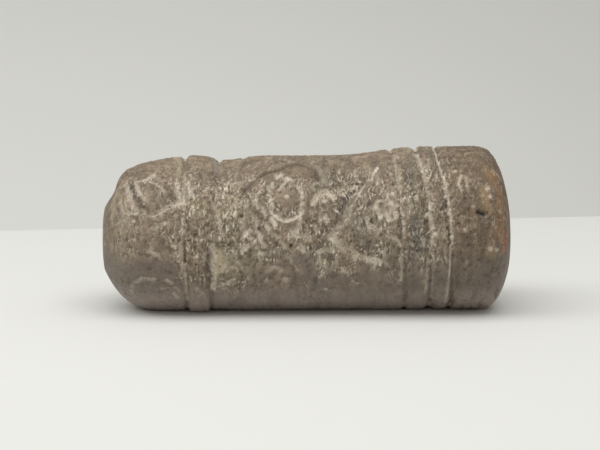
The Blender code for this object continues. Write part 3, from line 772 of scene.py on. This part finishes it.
tint = add(
    barrel,
    "GeometryNodeSampleIndex",
    {"Geometry": left_by["Stains"][2], "Value": tint_name, "Index": left_by["Stains"][3]},
    data_type="FLOAT_VECTOR",
    domain="EDGE",
)

# Wear: slow unevenness of the ground barrel, the flaking and roughness of its skin, and small pocks.
# The allowance keeps the worn skin on the size of the ground one.
slow = add(barrel, "ShaderNodeTexNoise", {"Vector": blank, "Scale": 0.16, "Detail": 1.0})
rough = add(barrel, "ShaderNodeTexNoise", {"Vector": blank, "Scale": 0.8, "Detail": 4.0, "Roughness": 0.62})
rough_share = add(barrel, "ShaderNodeMapRange", {"Value": rubbed, "To Min": 1.0, "To Max": 0.35})
ridge = flaking(barrel, blank)[0]
flaked = add(barrel, "ShaderNodeMath", {0: 1.0, 1: ridge}, operation="SUBTRACT")
flaked = add(barrel, "ShaderNodeMath", {0: flaked, 1: flaky}, operation="MULTIPLY")
pock_noise = add(barrel, "ShaderNodeTexNoise", {"Vector": blank, "Scale": 1.5, "Detail": 1.0})
pock = add(
    barrel,
    "ShaderNodeMapRange",
    {"Value": pock_noise, "From Min": 0.60, "From Max": 0.72},
    interpolation_type="SMOOTHSTEP",
)
wear = add(barrel, "ShaderNodeMath", {0: slow, 1: given["Unevenness"]}, operation="MULTIPLY")
wear = add(barrel, "ShaderNodeMath", {0: wear, 1: given["Wear allowance"]}, operation="SUBTRACT")
rough_depth = add(barrel, "ShaderNodeMath", {0: rough, 1: given["Roughness"]}, operation="MULTIPLY")
wear = add(barrel, "ShaderNodeMath", {0: rough_depth, 1: rough_share, 2: wear}, operation="MULTIPLY_ADD")
wear = add(barrel, "ShaderNodeMath", {0: flaked, 1: given["Flake depth"], 2: wear}, operation="MULTIPLY_ADD")
wear = add(barrel, "ShaderNodeMath", {0: pock, 1: given["Pock depth"], 2: wear}, operation="MULTIPLY_ADD")
taken = add(barrel, "ShaderNodeMath", {0: wear, 1: whole_depth}, operation="ADD")
taken = add(barrel, "ShaderNodeMath", {0: taken, 1: carved}, operation="MULTIPLY")

# The carved skin goes back round the axis, and the flat below is ground last. Each pit gets a painted shade
# that darkens with its depth.
PIT_DARKNESS = 3.5
SAME_PLACE = 1e-6
less_along = add(barrel, "ShaderNodeMath", {0: taken, 1: facing_along}, operation="MULTIPLY")
less_out = add(barrel, "ShaderNodeMath", {0: taken, 1: facing_out}, operation="MULTIPLY")
cut_along = add(barrel, "ShaderNodeMath", {0: along, 1: less_along}, operation="SUBTRACT")
cut_radius = add(barrel, "ShaderNodeMath", {0: radius, 1: less_out}, operation="SUBTRACT")
cut_y = add(barrel, "ShaderNodeMath", {0: forward, 1: cut_radius}, operation="MULTIPLY")
cut_z = add(barrel, "ShaderNodeMath", {0: sine, 1: cut_radius, 2: middle}, operation="MULTIPLY_ADD")
ground_z = add(barrel, "ShaderNodeMath", {0: cut_z, 1: 0.0}, operation="MAXIMUM")
carved_place = add(barrel, "ShaderNodeCombineXYZ", {"X": cut_along, "Y": cut_y, "Z": ground_z})
in_metres = add(barrel, "ShaderNodeVectorMath", {0: carved_place, "Scale": MM}, operation="SCALE")
shape = sheet
for name, value in (
    ("crust", add(barrel, "ShaderNodeMath", {0: crust, 1: carved}, operation="MULTIPLY")),
    ("depth", add(barrel, "ShaderNodeMath", {0: cut_depth, 1: carved}, operation="MULTIPLY")),
    ("pit", add(barrel, "ShaderNodeMath", {0: left_by["Pits"][0], 1: PIT_DARKNESS}, operation="MULTIPLY")),
    ("rubbed", rubbed),
    ("flaky", flaky),
    ("brown", brown),
    ("stained", add(barrel, "ShaderNodeMath", {0: left_by["Stains"][0], 1: carved}, operation="MULTIPLY")),
):
    shape = add(
        barrel,
        "GeometryNodeStoreNamedAttribute",
        {"Geometry": shape, "Name": name, "Value": value},
        data_type="FLOAT",
        domain="POINT",
    )
shape = add(
    barrel,
    "GeometryNodeStoreNamedAttribute",
    {"Geometry": shape, "Name": "tint", "Value": tint},
    data_type="FLOAT_VECTOR",
    domain="POINT",
)
shape = add(barrel, "GeometryNodeSetPosition", {"Geometry": shape, "Position": in_metres})
shape = add(barrel, "GeometryNodeMergeByDistance", {"Geometry": shape, "Distance": SAME_PLACE})
shape = add(barrel, "GeometryNodeSetShadeSmooth", {"Geometry": shape})
shape = add(barrel, "GeometryNodeRealizeInstances", {"Geometry": shape})
shape = add(barrel, "GeometryNodeSetMaterial", {"Geometry": shape, "Material": given["Stone"]})
add(barrel, "NodeGroupOutput", {"Geometry": shape})

# Steatite, a soft close-grained stone, ground smooth and then weathered in the earth. It gives the
# eye a dull brown-grey ground with darker mottling, pale crust in every cut, and a rough skin.
stone = bpy.data.materials.new("weathered_steatite")
stone.use_nodes = True
look = stone.node_tree
surface = look.nodes["Principled BSDF"]
tone = {
    name: (*linear(code), 1.0)
    for name, code in (
        ("base", "#a7937b"),
        ("brown", "#7b654a"),
        ("dark", "#5f5243"),
        ("green", "#88866e"),
        ("crust", "#e8dbc6"),
        ("dull crust", "#bba991"),
        ("rubbed", "#675c52"),
        # Painted bounce light for the stone low down.
        ("underside", "#b3a59c"),
        # Painted shade for the cuts and the gaps between flakes.
        ("hollow", "#4a3f33"),
        ("pit", "#241e18"),
    )
}
STREAK_STRETCH = 0.22
object_place = add(look, "ShaderNodeTexCoord").outputs["Object"]
mm = add(look, "ShaderNodeMapping", {"Vector": object_place, "Scale": (1 / MM, 1 / MM, 1 / MM)})
round_scale = STREAK_STRETCH / MM
streaked = add(
    look, "ShaderNodeMapping", {"Vector": object_place, "Scale": (1 / MM, round_scale, round_scale)}
)
stored = {}
for name in ("crust", "depth", "pit", "rubbed", "flaky", "brown", "stained"):
    stored[name] = add(look, "ShaderNodeAttribute", attribute_name=name).outputs["Fac"]
stain_tint = add(look, "ShaderNodeAttribute", attribute_name="tint").outputs["Vector"]

# Mottling: greenish patches of 6 mm, dark ones of 4 mm and of 1.2 mm with a pale bloom between them,
# soft streaks round the barrel, and dark specks. Each row gives the noise's place, scale, detail and
# roughness, the values at which a patch starts and is full, and its strength.
patch = {}
for name, place, scale, detail, roughness, starts, full, strength in (
    ("green", mm, 0.16, 4.0, 0.6, 0.50, 0.64, 0.4),
    ("wide", mm, 0.25, 3.0, 0.6, 0.42, 0.62, 0.5),
    ("small", mm, 0.8, 4.0, 0.65, 0.44, 0.60, 0.5),
    ("bloom", mm, 0.8, 4.0, 0.65, 0.48, 0.34, 0.35),
    ("streak", streaked, 0.9, 3.0, 0.5, 0.50, 0.62, 0.4),
    ("speck", mm, 2.6, 2.0, 0.4, 0.66, 0.72, 0.6),
):
    noise = add(
        look,
        "ShaderNodeTexNoise",
        {"Vector": place, "Scale": scale, "Detail": detail, "Roughness": roughness},
    )
    patch[name] = add(
        look,
        "ShaderNodeMapRange",
        {"Value": noise, "From Min": starts, "From Max": full, "To Max": strength},
    )
STREAKS_ON_BROWN = 1.2
STREAKS_ELSEWHERE = 0.6
RUBBED_SHARE = 0.8
streak_share = add(
    look,
    "ShaderNodeMath",
    {0: stored["brown"], 1: STREAKS_ON_BROWN, 2: STREAKS_ELSEWHERE},
    operation="MULTIPLY_ADD",
)
streak = add(look, "ShaderNodeMath", {0: patch["streak"], 1: streak_share}, operation="MULTIPLY")
rubbed_part = add(look, "ShaderNodeMath", {0: stored["rubbed"], 1: RUBBED_SHARE}, operation="MULTIPLY")
# Painted bounce light: the stone is paler low down, most at the floor and gone 5 mm up, standing in for light
# thrown up from the card.
height_up = add(look, "ShaderNodeSeparateXYZ", {0: mm}).outputs["Z"]
painted_bounce_share = add(
    look,
    "ShaderNodeMapRange",
    {"Value": height_up, "From Min": 0.5, "From Max": 5.0, "To Min": 0.9, "To Max": 0.0},
)

# Crust in fibres about 0.3 mm wide drawn out round the barrel, thick where the stone is rough. The ridge tops
# are paled too, partly as a painted highlight, and the gaps are darkened with painted shade.
LEAST_FLAKY = 0.1
RIDGE_PALENESS = 0.45
FLAKE_SHARE = 0.75
GAP_SHARE = 0.55
MOST_CRUST = 0.9
MOST_PIT = 0.95
ridge, fibre, gap = flaking(look, mm)
flaky = add(look, "ShaderNodeMath", {0: stored["flaky"], 1: LEAST_FLAKY}, operation="MAXIMUM")
spread_noise = add(look, "ShaderNodeTexNoise", {"Vector": mm, "Scale": 0.45, "Detail": 2.0})
spread = add(
    look, "ShaderNodeMapRange", {"Value": spread_noise, "From Min": 0.36, "From Max": 0.56, "To Min": 0.35}
)
# The ridge tops take a pale crust tone that is partly a painted highlight.
ridge_pale = add(look, "ShaderNodeMath", {0: ridge, 1: RIDGE_PALENESS}, operation="MULTIPLY")
flake = add(look, "ShaderNodeMath", {0: ridge_pale, 1: fibre}, operation="MAXIMUM")
flake = add(look, "ShaderNodeMath", {0: flake, 1: flaky}, operation="MULTIPLY")
flake_part = add(look, "ShaderNodeMath", {0: flake, 1: spread}, operation="MULTIPLY")
flake_part = add(look, "ShaderNodeMath", {0: flake_part, 1: FLAKE_SHARE}, operation="MULTIPLY")
# The gaps between fibres: painted shade in the colour and a dip in the bump.
gap_depth_and_shade = add(look, "ShaderNodeMath", {0: gap, 1: flaky}, operation="MULTIPLY")
gap_depth_and_shade = add(look, "ShaderNodeMath", {0: gap_depth_and_shade, 1: GAP_SHARE}, operation="MULTIPLY")
crust_broken = add(look, "ShaderNodeMapRange", {"Value": gap, "To Min": 1.0, "To Max": 0.75})
crust_part = add(look, "ShaderNodeMath", {0: stored["crust"], 1: crust_broken}, operation="MULTIPLY")
crust_part = add(look, "ShaderNodeMath", {0: crust_part, 1: MOST_CRUST}, operation="MINIMUM")
crust_tone = add(
    look, "ShaderNodeMix", {"Factor": spread, "A": tone["dull crust"], "B": tone["crust"]}, data_type="RGBA"
)
# Painted shade in the cuts, darker the deeper they are.
painted_cut_shade = add(
    look, "ShaderNodeMapRange", {"Value": stored["depth"], "From Min": 0.12, "From Max": 0.45, "To Max": 0.5}
)
# Painted shade in the pits, darker the deeper they are.
painted_pit_shade = add(look, "ShaderNodeMath", {0: stored["pit"], 1: MOST_PIT}, operation="MINIMUM")

# The coats of colour, each laid over those before it. Among them are painted bounce light low down, painted
# shade in the cuts, the flake gaps and the pits, and a painted highlight in part of the flake crust.
colour = tone["base"]
for share, coat in (
    (patch["green"], tone["green"]),
    (stored["brown"], tone["brown"]),
    (patch["wide"], tone["dark"]),
    (patch["small"], tone["dark"]),
    (patch["bloom"], tone["dull crust"]),
    (rubbed_part, tone["rubbed"]),
    (painted_bounce_share, tone["underside"]),
    (stored["stained"], stain_tint),
    (streak, tone["dark"]),
    (painted_cut_shade, tone["hollow"]),
    (gap_depth_and_shade, tone["hollow"]),
    (flake_part, crust_tone),
    (crust_part, crust_tone),
    (patch["speck"], tone["pit"]),
    (painted_pit_shade, tone["pit"]),
):
    colour = add(look, "ShaderNodeMix", {"Factor": share, "A": colour, "B": coat}, data_type="RGBA")
look.links.new(next(s for s in colour.outputs if s.enabled), surface.inputs["Base Color"])

# A dull skin, a little glossier where hands and ground have rubbed it. The fine grain and the
# edges of the flakes are too small for the mesh.
STONE_IOR = 1.54
GRAIN_HEIGHT = 0.18 * MM
shine = add(look, "ShaderNodeMapRange", {"Value": stored["rubbed"], "To Min": 0.7, "To Max": 0.55})
look.links.new(shine.outputs["Result"], surface.inputs["Roughness"])
surface.inputs["IOR"].default_value = STONE_IOR
grain = add(look, "ShaderNodeTexNoise", {"Vector": mm, "Scale": 3.2, "Detail": 4.0, "Roughness": 0.7})
height = add(look, "ShaderNodeMath", {0: flake, 1: gap_depth_and_shade}, operation="SUBTRACT")
grain_share = add(look, "ShaderNodeMapRange", {"Value": stored["rubbed"], "To Min": 0.6, "To Max": 0.2})
height = add(look, "ShaderNodeMath", {0: grain, 1: grain_share, 2: height}, operation="MULTIPLY_ADD")
bump = add(look, "ShaderNodeBump", {"Height": height, "Strength": 1.0, "Distance": GRAIN_HEIGHT})
look.links.new(bump.outputs["Normal"], surface.inputs["Normal"])

seal_mesh = bpy.data.meshes.new("engraved_seal")
seal = bpy.data.objects.new("engraved_seal", seal_mesh)
bpy.context.scene.collection.objects.link(seal)
carve = seal.modifiers.new("turn and engrave", "NODES")
carve.node_group = barrel
for item in barrel.interface.items_tree:
    if item.in_out == "INPUT":
        carve[item.identifier] = stone if item.name == "Stone" else sizes[item.name][1]
seal.update_tag()
ready = seal.evaluated_get(bpy.context.evaluated_depsgraph_get())
finished = bpy.data.meshes.new_from_object(ready)
seal.modifiers.remove(carve)
seal.data = finished
for key in ("Outline", *work):
    bpy.data.objects.remove(sizes[key][1], do_unlink=True)
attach(seal, "root")
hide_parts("seal")

# The sheet that the seal lies on: white card that rolls off the back edge of the table, sags behind
# it and rises again as a leaning backdrop, far enough away to walk round the seal.
card = bpy.data.materials.new("matt_white_card")
card.use_nodes = True
card_look = card.node_tree
card_surface = card_look.nodes["Principled BSDF"]
card_surface.inputs["Base Color"].default_value = (*linear("#e2e2de"), 1.0)
card_surface.inputs["Roughness"].default_value = 0.9
SHEET_SIDE = 0.9
SHEET_FRONT = -0.7
SHEET_TURN = math.radians(8.0)
TABLE_EDGE = 0.081
BEFORE_EDGE = 0.002
EDGE_ROLL = 0.03
SAG_SLOPE = math.radians(15.0)
BACKDROP = 0.34
LEVEL_RUN = 0.01
BACKDROP_FOOT = 0.02
BACKDROP_RUN = 0.59
BACKDROP_SLOPE = math.radians(42.0)
roll_back, roll_down = EDGE_ROLL * math.sin(SAG_SLOPE), EDGE_ROLL * (1 - math.cos(SAG_SLOPE))
run_back = BACKDROP - TABLE_EDGE - roll_back
sag = roll_down + run_back * math.tan(SAG_SLOPE)
profile = [(SHEET_FRONT, 0.0), (TABLE_EDGE - BEFORE_EDGE, 0.0)]
for bend in np.linspace(0.0, SAG_SLOPE, 6):
    profile.append((TABLE_EDGE + EDGE_ROLL * math.sin(bend), -EDGE_ROLL * (1 - math.cos(bend))))
profile.append((BACKDROP, -sag))
for run in (0.0, BACKDROP_FOOT, BACKDROP_RUN):
    profile.append((BACKDROP + LEVEL_RUN + run, run * math.tan(BACKDROP_SLOPE) - sag))
corners = [
    (
        side * math.cos(SHEET_TURN) - y * math.sin(SHEET_TURN),
        side * math.sin(SHEET_TURN) + y * math.cos(SHEET_TURN),
        z,
    )
    for y, z in profile
    for side in (-SHEET_SIDE, SHEET_SIDE)
]
faces = [(2 * i, 2 * i + 1, 2 * i + 3, 2 * i + 2) for i in range(len(profile) - 1)]
sheet_mesh = bpy.data.meshes.new("card_sheet")
sheet_mesh.from_pydata(corners, [], faces)
sheet_mesh.shade_smooth()
sheet_mesh.materials.append(card)
card_sheet = bpy.data.objects.new("card_sheet", sheet_mesh)
bpy.context.scene.collection.objects.link(card_sheet)

# Studio light: one broad soft panel overhead, a small one on the backdrop, and an even pale surround.
# Each panel is given by its place, what it faces, its width and height, and its power.
SURROUND_STRENGTH = 0.455
world = bpy.data.worlds.new("even_surround")
bpy.context.scene.world = world
world.use_nodes = True
world.node_tree.nodes["Background"].inputs["Color"].default_value = (1.0, 0.99, 0.97, 1.0)
world.node_tree.nodes["Background"].inputs["Strength"].default_value = SURROUND_STRENGTH


def face(thing, place, aim):
    """Sets a lamp or the camera in its place and turns it to what it faces."""
    thing.location = place
    x, y, z = np.subtract(aim, place)
    thing.rotation_euler = (math.atan2(math.hypot(x, y), -z), 0.0, math.atan2(-x, y))


def panel(name, place, aim, width, height, power):
    light = bpy.data.lights.new(name, "AREA")
    light.shape = "RECTANGLE"
    light.size = width
    light.size_y = height
    light.energy = power
    lamp = bpy.data.objects.new(name, light)
    bpy.context.scene.collection.objects.link(lamp)
    face(lamp, place, aim)


panel("overhead_panel", (-0.19, -0.09, 0.38), (-0.19, 0.0, 0.0), 0.84, 0.30, 1.88)
panel("backdrop_panel", (-0.02, 0.25, 0.10), (-0.02, 0.42, -0.05), 0.40, 0.06, 0.06)
bpy.context.scene.view_settings.view_transform = "Standard"

# The camera, fitted to the seal's outline: a long lens, raised a little above the barrel's middle and
# standing a little to its left.
CAMERA_DISTANCE = 0.2605
CAMERA_RISE = math.radians(8.7)
CAMERA_TURN = math.radians(1.65)
FOCAL_PIXELS = 1743.0
FRAME_PIXELS = 600.0
SENSOR = 36.0
AIM = (-0.00093, 0.0, 0.01226)
MIDDLE_HEIGHT = 0.0113
eye = (
    -CAMERA_DISTANCE * math.sin(CAMERA_TURN) * math.cos(CAMERA_RISE),
    -CAMERA_DISTANCE * math.cos(CAMERA_TURN) * math.cos(CAMERA_RISE),
    MIDDLE_HEIGHT + CAMERA_DISTANCE * math.sin(CAMERA_RISE),
)
lens = bpy.data.cameras.new("camera")
lens.sensor_width = SENSOR
lens.lens = FOCAL_PIXELS / FRAME_PIXELS * SENSOR
lens.clip_start = 0.01
camera = bpy.data.objects.new("camera", lens)
bpy.context.scene.collection.objects.link(camera)
face(camera, eye, AIM)
bpy.context.scene.camera = camera

bpy.context.view_layer.update()
